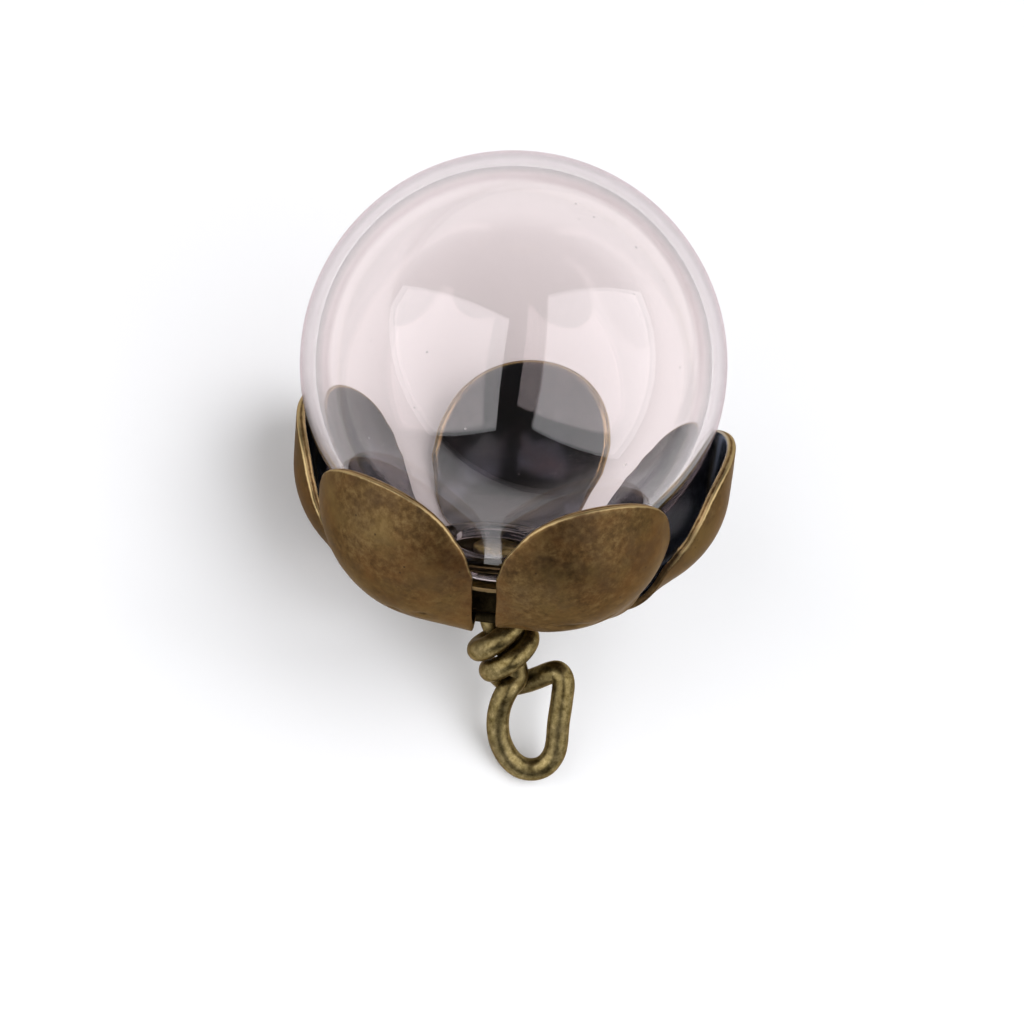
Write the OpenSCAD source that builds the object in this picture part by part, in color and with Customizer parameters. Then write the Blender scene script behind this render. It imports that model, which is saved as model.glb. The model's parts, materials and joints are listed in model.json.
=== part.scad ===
// Bottle pendant: a blown glass globe standing mouth down in a five-petal flower cap, with a
// bent wire below it that ends in a hanging loop.
//
// The pendant is worked out upright: its axis is Z, the underside of the cap is at z = 0, the
// globe is above and the loop below. A direction round the axis is an azimuth, counted from the
// front (-Y) towards +X. At the end the pendant is laid down as it rests by itself, on the
// bellies of two petals and the end of the loop, with the globe towards +Y.

/* [Glass globe] */
// Outer diameter of the globe
globe_d = 20; // [18:0.5:24]
// Thickness of the blown wall
glass_wall = 0.7; // [0.5:0.05:1]
// Diameter of the open mouth
mouth_d = 4.2; // [3.6:0.1:4.8]
// Wall of the short neck round the mouth
neck_wall = 0.9; // [0.7:0.05:1.1]
// How far the neck stands out below the globe
neck_len = 0.35; // [0.2:0.05:1]

/* [Flower cap] */
// Thickness of the stamped sheet
sheet_t = 0.45; // [0.35:0.05:0.6]
// Diameter of the raised boss that the glass stands on
boss_d = 7.8; // [7:0.1:9]
// Height of the boss over the underside of the cap
boss_h = 1.5; // [1:0.1:2.4]
// How far the side of the boss slants
boss_draft = 0.25; // [0.1:0.05:0.4]
// Width of the flat rim between the boss and the slots
rim_w = 0.2; // [0.15:0.05:0.6]
// Width of the slots between the petals
slot_w = 1.1; // [0.6:0.1:1.6]
// Turn of the cap from having a slot right at the front, in degrees
cap_turn = 4; // [0:0.5:30]

/* [Petals] */
// How far below the middle of the globe the petals end
petal_below = 3.4; // [2.8:0.1:5]
// Width of a petal, measured along its skin
petal_w = 10.5; // [9:0.1:12.4]
// Length of the rounded tip of a petal
tip_len = 4.3; // [3:0.1:5]
// Outward slant of the upper part of a petal, in degrees
flare = 4; // [1:0.5:6]
// Length of the flat root of a petal beyond the rim
root_len = 0.2; // [0.1:0.05:0.5]
// Length over which a petal turns from flat at its root to fully cupped
cup_run = 4; // [3:0.1:6]
// Radius of a petal across, as a share of the radius of the globe
cup_share = 0.57; // [0.5:0.01:0.7]
// How each petal was bent by hand, from the front right one on, towards the right and back:
// [lean of the tip in degrees, spread of the tip, extra height and fullness of the belly in mm]
petal_bends = [
    [-2.3, 0, -0.15, 0],
    [-5, 0.55, 0.1, 0.35],
    [-6, 0, 0.45, 0],
    [1, -0.05, 0.1, 0.2],
    [-1, 0, -0.05, 0]
];

/* [Wire] */
// Diameter of the wire
wire_d = 1.1; // [0.8:0.05:1.2]
// Diameter of the flat head inside the mouth of the glass
head_d = 2.4; // [1.8:0.1:2.8]
// Thickness of the head
head_t = 0.5; // [0.3:0.05:0.8]
// Straight length of the stem below the cap
stem_len = 1.4; // [1.2:0.1:2.4]
// Lean of the stem where it is wrapped, in degrees
wrap_lean = 33; // [15:1:36]
// Angle that the end of the wire wraps round the stem, in degrees
wrap_angle = 560; // [400:20:620]
// Width of the loop between the middles of the wire
loop_w = 2.95; // [2.6:0.05:4]
// Length of the loop between the middles of the wire
loop_len = 4.9; // [4.4:0.1:7]

/* [Clearances] */
// Between the mouth of the glass, or the head of the wire, and the boss
seat_gap = 0.05; // [0.03:0.01:0.1]
// Between the globe and the middle of a petal's tip
petal_gap = 0.4; // [0.35:0.05:0.8]
// Between the stem and the hole in the boss
stem_gap = 0.1; // [0.05:0.01:0.2]
// Between the turns of the wire, and between them and the stem
wrap_gap = 0.08; // [0.05:0.01:0.15]

/* [Hidden] */

glass_color = [0.93, 0.87, 0.88, 0.4];
bronze_color = [0.42, 0.34, 0.2];
wire_color = [0.46, 0.38, 0.2];

$fn = 96;
// Facets across a petal, along its body and along its tip, and round the wire
across_n = 12;
body_n = 11;
tip_n = 8;
wire_n = 12;
// Rings of the wire for each step of its route and for each turn of the wrap
step_rings = 3;
turn_rings = 24;

globe_r = globe_d / 2;
mouth_r = mouth_d / 2;
neck_r = mouth_r + neck_wall;
lip_z = boss_h + seat_gap;
globe_z = lip_z + neck_len + sqrt(globe_r ^ 2 - neck_r ^ 2);

// The sheet of the petals starts inside the wall of the boss, which is a little thicker, and
// lies root_step above its foot
petal_n = len(petal_bends);
petal_step = 360 / petal_n;
boss_r = boss_d / 2;
rim_r = boss_r + rim_w;
wall_t = 1.1 * sheet_t;
root_step = sheet_t / 20;
sheet_r = boss_r - wall_t / 2;
hole_r = wire_d / 2 + stem_gap;

// The middle line of a petal's outer skin, from the rim: a flat root, a round belly and a
// straight side
belly_start = rim_r + root_len;
petal_h = globe_z - petal_below;
tip_r = sqrt((globe_r + petal_gap + sheet_t) ^ 2 - petal_below ^ 2);
belly_turn = 90 - flare;
belly_r = (tip_r - belly_start - (petal_h - root_step) * tan(flare))
    / (sin(belly_turn) - (1 - cos(belly_turn)) * tan(flare));
belly_len = belly_r * belly_turn * PI / 180;
belly_top = root_step + belly_r * (1 - cos(belly_turn));
cup_r = cup_share * globe_r;

// Length along the skin from the rim to the tip of a petal that stands rise higher
function petal_len(rise) =
    root_len + belly_len + (petal_h + rise - belly_top) / sin(belly_turn);

// [radius, height, slope in degrees] of the middle line at the length s from the rim
function skin_line(s) =
    let (on_belly = s - root_len, on_side = on_belly - belly_len)
    on_belly <= 0 ? [rim_r + s, root_step, 0]
    : on_side < 0 ? let (turn = on_belly / belly_r * 180 / PI)
        [belly_start + belly_r * sin(turn), root_step + belly_r * (1 - cos(turn)), turn]
    : [belly_start + belly_r * sin(belly_turn) + on_side * cos(belly_turn),
       belly_top + on_side * sin(belly_turn), belly_turn];

// Curvature of a petal across: none on its flat root, then growing smoothly to the full cup
function cupping(s) =
    let (share = max(0, min(1, (s - root_len) / cup_run)))
    share * share * (3 - 2 * share) / cup_r;

// Half the width of a petal along its skin: up to the slot, and rounded at the tip
function slot_half(s) =
    let (
        line = skin_line(s),
        bow = cupping(s),
        half_step = petal_step / 2,
        inward = bow == 0 ? 0 : sin(line[2]) * sin(half_step) / bow,
        sideways = bow == 0 ? 0 : cos(half_step) / bow,
        edge = line[0] * sin(half_step) - slot_w / 2,
        turn = (inward - edge) / norm([inward, sideways])
    )
    bow == 0 ? edge / cos(half_step)
    : turn <= -1 ? petal_w
    : (acos(turn) - atan2(sideways, inward)) * PI / 180 / bow;
function tip_half(s, rise) =
    let (share = max(0, (s - petal_len(rise)) / tip_len + 1))
    petal_w / 2 * sqrt(max(0, 1 - share * share));
function petal_half(s, rise) = min(slot_half(s), tip_half(s, rise));

// A point of a petal in the pendant's own frame: the length s from the rim, the length w from
// the middle line, and how deep it lies below the outer skin
function petal_point(index, s, w, depth) =
    let (
        bend = petal_bends[index],
        share = s / petal_len(bend[2]),
        line = skin_line(s),
        bow = cupping(s),
        angle = w * bow * 180 / PI,
        inset = bow == 0 ? depth : (1 - (1 - depth * bow) * cos(angle)) / bow,
        side = bow == 0 ? w : (1 / bow - depth) * sin(angle),
        full = 4 * bend[3] * share * (1 - share),
        out = line[0] - inset * sin(line[2]) + bend[1] * share + full,
        azimuth = (index + 0.5) * petal_step - cap_turn + bend[0] * share
    )
    [out * sin(azimuth) + side * cos(azimuth),
     side * sin(azimuth) - out * cos(azimuth),
     line[1] + inset * cos(line[2])];

// A point of the round rim that the petal grows out of; share runs from -1 to 1 along it
function rim_point(index, radius, share, depth) =
    let (
        half_step = petal_step / 2 - asin(slot_w / 2 / rim_r),
        azimuth = (index + 0.5) * petal_step - cap_turn + share * half_step
    )
    [radius * sin(azimuth), -radius * cos(azimuth), root_step + depth];

// Lengths along a petal at which its rows of points lie
function petal_stations(rise) =
    let (body = petal_len(rise) - tip_len - root_len)
    concat(
        [for (i = [0:body_n - 1]) root_len + body * i / body_n],
        [for (i = [0:tip_n]) root_len + body + tip_len * sin(88 * i / tip_n)]
    );
// The rows of one petal on one skin: on the wall of the boss, on the rim, and out to the tip
function petal_rows(index, depth) =
    let (rise = petal_bends[index][2], shares = [for (i = [0:across_n]) 2 * i / across_n - 1])
    concat(
        [for (radius = [sheet_r, rim_r]) [for (share = shares) rim_point(index, radius, share, depth)]],
        [for (s = petal_stations(rise)) let (half = petal_half(s, rise))
            [for (share = shares) petal_point(index, s, half * share, depth)]]
    );
row_n = body_n + tip_n + 3;
sheet_points = [
    for (depth = [0, sheet_t], index = [0:petal_n - 1])
        each [for (row = petal_rows(index, depth)) each row]
];

// The loop, from where the wire leaves the wrapped stem to where it comes back to it:
// [across, down, back], the first two as shares of the loop's size, the last in wire diameters
loop_left = 0.25 * loop_w;
loop_shape = [
    [0.24, 0.06, 0],
    [0.11, 0.17, -0.3],
    [0.02, 0.33, -0.3],
    [0, 0.52, -0.2],
    [0.06, 0.71, -0.1],
    [0.21, 0.88, 0],
    [0.41, 0.98, 0],
    [0.63, 1, 0],
    [0.82, 0.95, 0],
    [0.94, 0.84, 0],
    [0.98, 0.71, 0],
    [0.98, 0.49, 0],
    [1, 0.25, 0],
    [1, 0.08, 0.1],
    [0.91, 0, 0.3],
    [0.77, 0.03, 0.5],
    [0.6, 0.11, 0.8],
    [0.38, 0.19, 1.05],
    [0.15, 0.22, 1.15]
];
// The wrap winds up the leaning stem, from its lower end on the left
wrap_r = wire_d + wrap_gap;
wrap_pitch = wire_d + wrap_gap;
wrap_start = stem_len + 0.65 * wire_d;
wrap_down = [sin(wrap_lean), 0, -cos(wrap_lean)];
wrap_right = [cos(wrap_lean), 0, sin(wrap_lean)];
wrap_front = [0, -1, 0];
loop_top = -stem_len - 2.05 * wrap_pitch;

stem_route = [
    [0, 0, lip_z + head_t / 2],
    [0, 0, boss_h / 2],
    [0, 0, -0.4 * stem_len],
    [0, 0, -0.85 * stem_len],
    [0, 0, -stem_len] + wrap_down * 0.25 * wrap_pitch,
    [0, 0, -stem_len] + wrap_down * 1.3 * wrap_pitch,
    [0, 0, -stem_len] + wrap_down * 2 * wrap_pitch
];
loop_route = [
    for (row = loop_shape)
        [loop_left + row[0] * loop_w, row[2] * wire_d, loop_top - row[1] * loop_len]
];
wrap_route = [
    for (i = [-1:ceil(wrap_angle / 360 * turn_rings)])
        let (turned = i * 360 / turn_rings, along = wrap_start - wrap_pitch * turned / 360)
        [0, 0, -stem_len] + wrap_down * along
            - wrap_r * cos(turned) * wrap_right + wrap_r * sin(turned) * wrap_front
];

// A smooth curve through chosen points
function curve_point(a, b, c, d, t) =
    (2 * b + (c - a) * t + (2 * a - 5 * b + 4 * c - d) * t ^ 2
        + (3 * b - a - 3 * c + d) * t ^ 3) / 2;
function smooth_route(points) =
    let (last = len(points) - 1)
    [
        for (i = [0:last - 1], j = [0:step_rings - 1])
            curve_point(points[max(0, i - 1)], points[i], points[i + 1],
                points[min(last, i + 2)], j / step_rings)
    ];
wire_route = concat(smooth_route(concat(stem_route, loop_route, [wrap_route[0]])), wrap_route);

// Directions of the route, and a side direction that turns with it and never twists
function unit(v) = v / norm(v);
function route_dirs(route) =
    let (last = len(route) - 1)
    [for (i = [0:last]) unit(route[min(last, i + 1)] - route[max(0, i - 1)])];
function route_sides(dirs) = [
    for (i = 0, side = [1, 0, 0]; i < len(dirs); i = i + 1,
        side = i < len(dirs) ? unit(side - (side * dirs[i]) * dirs[i]) : side) side
];
function wire_ring(centre, dir, side, radius) =
    let (other = cross(dir, side))
    [for (i = [0:wire_n - 1]) centre + radius * (cos(360 * i / wire_n) * side
        + sin(360 * i / wire_n) * other)];
wire_rings =
    let (dirs = route_dirs(wire_route), sides = route_sides(dirs))
    [for (i = [0:len(wire_route) - 1]) wire_ring(wire_route[i], dirs[i], sides[i], wire_d / 2)];

// The pendant at rest: it lies on the two petals beside one slot and on the end of its loop.
// The ground's direction has an azimuth, at which both petals reach equally far down, and a
// lean of the axis, at which the loop's end reaches as far as they do.
rest_slot = 3;
slot_azimuth = rest_slot * petal_step - cap_turn;
least_lean = 10;
most_lean = 70;
most_roll = 10;
halvings = 16;
wire_points = [for (ring = wire_rings, p = ring) p];
function ground_dir(azimuth, lean) =
    [cos(lean) * sin(azimuth), -cos(lean) * cos(azimuth), -sin(lean)];
function reach(points, dir) = max([for (p = points) p * dir]);
function petal_reach(index, dir) =
    max([for (depth = [0, sheet_t], row = petal_rows(index, depth)) reach(row, dir)]);
function find_lean(azimuth, low, high, left) =
    let (lean = (low + high) / 2, dir = ground_dir(azimuth, lean))
    left == 0 ? lean
    : reach(wire_points, dir) > reach(sheet_points, dir) ? find_lean(azimuth, low, lean, left - 1)
    : find_lean(azimuth, lean, high, left - 1);
function find_azimuth(lean, low, high, left) =
    let (azimuth = (low + high) / 2, dir = ground_dir(azimuth, lean))
    left == 0 ? azimuth
    : petal_reach(rest_slot - 1, dir) > petal_reach(rest_slot % petal_n, dir)
        ? find_azimuth(lean, azimuth, high, left - 1)
    : find_azimuth(lean, low, azimuth, left - 1);
first_lean = find_lean(slot_azimuth, least_lean, most_lean, halvings);
rest_azimuth =
    find_azimuth(first_lean, slot_azimuth - most_roll, slot_azimuth + most_roll, halvings);
rest_lean = find_lean(rest_azimuth, least_lean, most_lean, halvings);

// Size of the pendant as it lies, for its place over the middle of the ground
rest_right = [-cos(rest_azimuth), -sin(rest_azimuth), 0];
rest_down = ground_dir(rest_azimuth, rest_lean);
rest_ahead = cross(rest_right, rest_down);
function extent(dir) = max(
    globe_r + [0, 0, globe_z] * dir,
    reach(sheet_points, dir),
    reach(wire_points, dir)
);
rest_shift = [
    (extent(-rest_right) - extent(rest_right)) / 2,
    (extent(-rest_ahead) - extent(rest_ahead)) / 2,
    extent(rest_down)
];

// A closed solid through a row of closed sections of equal length
module lofted(sections) {
    rows = len(sections);
    n = len(sections[0]);
    polyhedron(
        points = [for (section = sections, p = section) p],
        faces = concat(
            [[for (i = [0:n - 1]) i]],
            [for (row = [0:rows - 2], i = [0:n - 1])
                let (next = (i + 1) % n)
                [row * n + next, row * n + i, (row + 1) * n + i]],
            [for (row = [0:rows - 2], i = [0:n - 1])
                let (next = (i + 1) % n)
                [row * n + next, (row + 1) * n + i, (row + 1) * n + next]],
            [[for (i = [n - 1:-1:0]) (rows - 1) * n + i]]
        ),
        convexity = 6
    );
}

// Lays the upright pendant down on the ground
module at_rest() {
    translate(rest_shift)
        rotate([rest_lean - 90, 0, 0])
            rotate([0, 0, 180 - rest_azimuth])
                children();
}

// Blown globe with a short neck and a rounded lip, open at the bottom
module glass_globe() {
    lip_r = neck_wall / 2;
    color(glass_color)
        at_rest()
            difference() {
                union() {
                    translate([0, 0, globe_z])
                        sphere(r = globe_r);
                    translate([0, 0, lip_z + lip_r])
                        cylinder(r = neck_r, h = neck_len + lip_r);
                    translate([0, 0, lip_z + lip_r])
                        rotate_extrude()
                            translate([mouth_r + lip_r, 0])
                                circle(r = lip_r);
                }
                translate([0, 0, globe_z])
                    sphere(r = globe_r - glass_wall);
                translate([0, 0, lip_z - lip_r])
                    cylinder(r = mouth_r, h = globe_z - lip_z);
            }
}

// The stamped sheet of the petals as one closed mesh of two skins and the edges between them
module petal_sheet() {
    // Number of a point; beyond the last point of a row comes the next petal's first one
    function at(skin, petal, row, i) =
        let (p = i > across_n ? (petal + 1) % petal_n : petal)
        ((skin * petal_n + p) * row_n + row) * (across_n + 1) + i % (across_n + 1);
    function quad(a, b, c, d) = [[a, b, c], [a, c, d]];
    // A patch of both skins, and an edge that faces the tip or, turned, the boss
    function patch(petal, row, i) = concat(
        quad(at(0, petal, row, i), at(0, petal, row + 1, i),
            at(0, petal, row + 1, i + 1), at(0, petal, row, i + 1)),
        quad(at(1, petal, row, i), at(1, petal, row, i + 1),
            at(1, petal, row + 1, i + 1), at(1, petal, row + 1, i))
    );
    function edge(petal, row, i, turned) =
        let (a = at(0, petal, row, i), b = at(0, petal, row, i + 1),
            c = at(1, petal, row, i + 1), d = at(1, petal, row, i))
        turned ? quad(a, b, c, d) : quad(a, d, c, b);
    function side(petal, row, i) =
        let (a = at(0, petal, row, i), b = at(0, petal, row + 1, i),
            c = at(1, petal, row + 1, i), d = at(1, petal, row, i))
        i == 0 ? quad(a, d, c, b) : quad(a, b, c, d);
    polyhedron(
        points = sheet_points,
        faces = [
            for (petal = [0:petal_n - 1]) each concat(
                [for (i = [0:across_n]) each patch(petal, 0, i)],
                [for (i = [0:across_n]) each edge(petal, 0, i, true)],
                edge(petal, 1, across_n, false),
                [for (row = [1:row_n - 2], i = [0:across_n - 1]) each patch(petal, row, i)],
                [for (row = [1:row_n - 2], i = [0, across_n]) each side(petal, row, i)],
                [for (i = [0:across_n - 1]) each edge(petal, row_n - 1, i, false)]
            )
        ],
        convexity = 8
    );
}

// The raised boss of the cap, with the hole for the wire
module cap_boss() {
    difference() {
        rotate_extrude()
            polygon([
                [0, boss_h - wall_t],
                [boss_r - boss_draft - wall_t, boss_h - wall_t],
                [boss_r - wall_t, 0],
                [boss_r, 0],
                [boss_r - boss_draft, boss_h],
                [0, boss_h]
            ]);
        translate([0, 0, boss_h - 2 * wall_t])
            cylinder(r = hole_r, h = 3 * wall_t);
    }
}

// The cap: one stamped sheet, its petals cupped round the globe
module flower_cap() {
    color(bronze_color)
        at_rest() {
            cap_boss();
            petal_sheet();
        }
}

// The wire: a head inside the glass, the stem, the hanging loop and the wrap round the stem
module wire_loop() {
    color(wire_color)
        at_rest() {
            lofted(wire_rings);
            translate([0, 0, lip_z])
                cylinder(d = head_d, h = head_t);
        }
}

glass_globe();
flower_cap();
wire_loop();
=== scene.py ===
import json
import logging
import math
from dataclasses import dataclass, field
from enum import Enum
from typing import Callable, Iterable, Sequence

import bmesh
import bpy
from mathutils import Matrix, Vector, noise

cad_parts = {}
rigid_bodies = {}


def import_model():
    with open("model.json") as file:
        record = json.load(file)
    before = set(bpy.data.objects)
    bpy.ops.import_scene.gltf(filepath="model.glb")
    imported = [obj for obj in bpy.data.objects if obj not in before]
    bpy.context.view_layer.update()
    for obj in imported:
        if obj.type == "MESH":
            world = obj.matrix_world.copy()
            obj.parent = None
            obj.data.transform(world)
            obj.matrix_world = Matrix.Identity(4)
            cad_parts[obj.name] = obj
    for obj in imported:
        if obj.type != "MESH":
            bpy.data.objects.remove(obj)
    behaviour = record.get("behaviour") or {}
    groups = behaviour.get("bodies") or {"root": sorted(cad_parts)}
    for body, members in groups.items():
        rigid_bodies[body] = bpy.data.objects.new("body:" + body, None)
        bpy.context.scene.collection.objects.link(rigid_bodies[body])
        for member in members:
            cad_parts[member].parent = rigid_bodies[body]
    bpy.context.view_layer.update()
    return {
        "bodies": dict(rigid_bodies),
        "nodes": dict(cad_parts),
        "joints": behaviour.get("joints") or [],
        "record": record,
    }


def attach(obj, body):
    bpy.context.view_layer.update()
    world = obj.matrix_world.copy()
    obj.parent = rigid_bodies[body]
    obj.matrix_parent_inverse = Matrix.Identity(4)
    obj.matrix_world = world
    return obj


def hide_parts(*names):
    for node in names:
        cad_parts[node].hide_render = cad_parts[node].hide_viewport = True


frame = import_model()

LOG = logging.getLogger("pendant")
MM = 0.001

Colour = tuple[float, float, float]
Span = tuple[float, float]
Socket = bpy.types.NodeSocket


# Sizes

@dataclass(frozen=True)
class Sizes:
    """The pendant's sizes in millimetres, as the CAD model has them."""

    globe_r: float = 10.0
    glass_wall: float = 0.7
    mouth_r: float = 2.1
    neck_wall: float = 0.9
    neck_len: float = 0.35
    sheet_t: float = 0.45
    boss_r: float = 3.9
    boss_h: float = 1.5
    boss_draft: float = 0.25
    rim_w: float = 0.2
    root_len: float = 0.2
    slot_w: float = 1.1
    cap_turn: float = 4.0
    petal_below: float = 3.4
    petal_half: float = 5.25
    tip_len: float = 4.3
    flare: float = 4.0
    cup_run: float = 4.0
    cup_r: float = 5.7
    wire_d: float = 1.1
    head_d: float = 2.4
    head_t: float = 0.5
    stem_len: float = 1.4
    wrap_lean: float = 33.0
    wrap_angle: float = 560.0
    loop_w: float = 2.95
    loop_len: float = 4.9
    seat_gap: float = 0.05
    petal_gap: float = 0.4
    stem_gap: float = 0.1
    wrap_gap: float = 0.08
    wall_share: float = 1.1
    step_parts: float = 20.0

    @property
    def wall_t(self) -> float:
        """Thickness of the boss's wall."""
        return self.wall_share * self.sheet_t

    @property
    def root_step(self) -> float:
        """Height of the petals' flat roots over the foot of the boss."""
        return self.sheet_t / self.step_parts

    @property
    def rim_r(self) -> float:
        """Radius of the rim that the petals grow out of."""
        return self.boss_r + self.rim_w

    @property
    def neck_r(self) -> float:
        """Outer radius of the glass neck."""
        return self.mouth_r + self.neck_wall

    @property
    def lip_z(self) -> float:
        """Height of the glass mouth's rim."""
        return self.boss_h + self.seat_gap

    @property
    def globe_z(self) -> float:
        """Height of the globe's middle."""
        return self.lip_z + self.neck_len + math.sqrt(self.globe_r ** 2 - self.neck_r ** 2)


SIZES = Sizes()


@dataclass(frozen=True)
class Bend:
    """How one petal was bent: lean in degrees; spread, extra height and fullness in mm."""

    lean: float = 0.0
    spread: float = 0.0
    rise: float = 0.0
    full: float = 0.0


BENDS = (Bend(-2.3, 0, -0.15), Bend(-5, 0.55, 0.1, 0.35), Bend(-6, 0, 0.45),
         Bend(1, -0.05, 0.1, 0.2), Bend(-1, 0, -0.05))


# Surfaces and routes

@dataclass(frozen=True)
class PetalSkin:
    """The curved surface that the petals follow, in the upright pendant's frame, in mm."""

    sizes: Sizes = SIZES
    bends: Sequence[Bend] = BENDS

    @property
    def step(self) -> float:
        """Angle from one petal to the next, in degrees."""
        return 360 / len(self.bends)

    @property
    def belly_start(self) -> float:
        """Radius where the round belly begins."""
        return self.sizes.rim_r + self.sizes.root_len

    @property
    def height(self) -> float:
        """Height of the petals' tips."""
        return self.sizes.globe_z - self.sizes.petal_below

    @property
    def belly_turn(self) -> float:
        """Angle that the belly turns through, in radians."""
        return math.radians(90 - self.sizes.flare)

    @property
    def belly_r(self) -> float:
        """Radius of the belly, so that the tips stand clear of the globe by the set gap.

        Returns:
            The radius in mm.
        """
        s, turn, lean = self.sizes, self.belly_turn, math.tan(math.radians(self.sizes.flare))
        tip_r = math.sqrt((s.globe_r + s.petal_gap + s.sheet_t) ** 2 - s.petal_below ** 2)
        run = tip_r - self.belly_start - (self.height - s.root_step) * lean
        return run / (math.sin(turn) - (1 - math.cos(turn)) * lean)

    def length(self, petal: int) -> float:
        """Length along a petal from the rim to its tip.

        Args:
            petal: Number of the petal.

        Returns:
            The length in mm.
        """
        s, turn = self.sizes, self.belly_turn
        top = s.root_step + self.belly_r * (1 - math.cos(turn))
        side = (self.height + self.bends[petal].rise - top) / math.sin(turn)
        return s.root_len + self.belly_r * turn + side

    def line(self, along: float) -> tuple[float, float, float]:
        """Middle line of the outer skin.

        Args:
            along: Length from the rim.

        Returns:
            Radius, height and slope in radians.
        """
        s, r, turn = self.sizes, self.belly_r, self.belly_turn
        on_belly = along - s.root_len
        if on_belly <= 0:
            return s.rim_r + along, s.root_step, 0.0
        bent = min(on_belly / r, turn)
        side = max(0.0, on_belly - r * turn)
        return (self.belly_start + r * math.sin(bent) + side * math.cos(turn),
                s.root_step + r * (1 - math.cos(bent)) + side * math.sin(turn), bent)

    def cupping(self, along: float) -> float:
        """Curvature of a petal across, growing from none at its root."""
        share = max(0.0, min(1.0, (along - self.sizes.root_len) / self.sizes.cup_run))
        return share * share * (3 - 2 * share) / self.sizes.cup_r

    def slot_half(self, along: float) -> float:
        """Half the width that the slots leave a petal, measured along its skin.

        Args:
            along: Length from the rim.

        Returns:
            The half width in mm, or one wider than any petal where no slot reaches it.
        """
        r, _, slope = self.line(along)
        bow, half_step = self.cupping(along), math.radians(self.step / 2)
        edge = r * math.sin(half_step) - self.sizes.slot_w / 2
        if bow == 0:
            return edge / math.cos(half_step)
        inward, sideways = math.sin(slope) * math.sin(half_step) / bow, math.cos(half_step) / bow
        turn = (inward - edge) / math.hypot(inward, sideways)
        if turn <= -1:
            return 2 * self.sizes.petal_half
        return (math.acos(turn) - math.atan2(sideways, inward)) / bow

    def half(self, petal: int, along: float) -> float:
        """Half the width of a petal.

        Args:
            petal: Number of the petal.
            along: Length from the rim.

        Returns:
            The half width in mm.
        """
        s = self.sizes
        share = max(0.0, (along - self.length(petal)) / s.tip_len + 1)
        return min(self.slot_half(along), s.petal_half * math.sqrt(max(0.0, 1 - share * share)))

    def point(self, petal: int, along: float, across: float, depth: float) -> Vector:
        """A point of a petal.

        Args:
            petal: Number of the petal, counted from the front right one.
            along: Length from the rim.
            across: Length from the petal's middle line.
            depth: How far it lies under the outer skin.

        Returns:
            The point in mm.
        """
        bend, bow = self.bends[petal], self.cupping(along)
        r, z, slope = self.line(along)
        share = along / self.length(petal)
        if bow == 0:
            inset, side = depth, across
        else:
            inset = (1 - (1 - depth * bow) * math.cos(across * bow)) / bow
            side = (1 / bow - depth) * math.sin(across * bow)
        full = 4 * bend.full * share * (1 - share)
        out = r - inset * math.sin(slope) + bend.spread * share + full
        azimuth = math.radians((petal + 0.5) * self.step - self.sizes.cap_turn
                               + bend.lean * share)
        return Vector((out * math.sin(azimuth) + side * math.cos(azimuth),
                       side * math.sin(azimuth) - out * math.cos(azimuth),
                       z + inset * math.cos(slope)))

    def coarse_points(self, petal: int, across_n: int = 12, body_n: int = 11,
                      tip_n: int = 8, tip_turn: float = 88.0) -> list[Vector]:
        """Points of both skins of a petal as the CAD has them, to find how the pendant lies.

        Args:
            petal: Number of the petal.
            across_n: Parts across the petal.
            body_n: Parts from the root to the tip's beginning.
            tip_n: Parts round the tip.
            tip_turn: How far round the tip they go, in degrees.

        Returns:
            The points in mm.
        """
        s = self.sizes
        body = self.length(petal) - s.tip_len - s.root_len
        rows = [s.root_len + body * i / body_n for i in range(body_n)]
        rows += [s.root_len + body + s.tip_len * math.sin(math.radians(tip_turn * i / tip_n))
                 for i in range(tip_n + 1)]
        return [self.point(petal, along, self.half(petal, along) * (2 * i / across_n - 1), depth)
                for along in rows for i in range(across_n + 1) for depth in (0, s.sheet_t)]


@dataclass(frozen=True)
class LoopStep:
    """A point of the hanging loop: shares of its width and length, and wire diameters back."""

    across: float
    down: float
    back: float


LOOP_SHAPE = tuple(LoopStep(*row) for row in (
    (0.24, 0.06, 0), (0.11, 0.17, -0.3), (0.02, 0.33, -0.3), (0, 0.52, -0.2), (0.06, 0.71, -0.1),
    (0.21, 0.88, 0), (0.41, 0.98, 0), (0.63, 1, 0), (0.82, 0.95, 0), (0.94, 0.84, 0),
    (0.98, 0.71, 0), (0.98, 0.49, 0), (1, 0.25, 0), (1, 0.08, 0.1), (0.91, 0, 0.3),
    (0.77, 0.03, 0.5), (0.6, 0.11, 0.8), (0.38, 0.19, 1.05), (0.15, 0.22, 1.15)))


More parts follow.
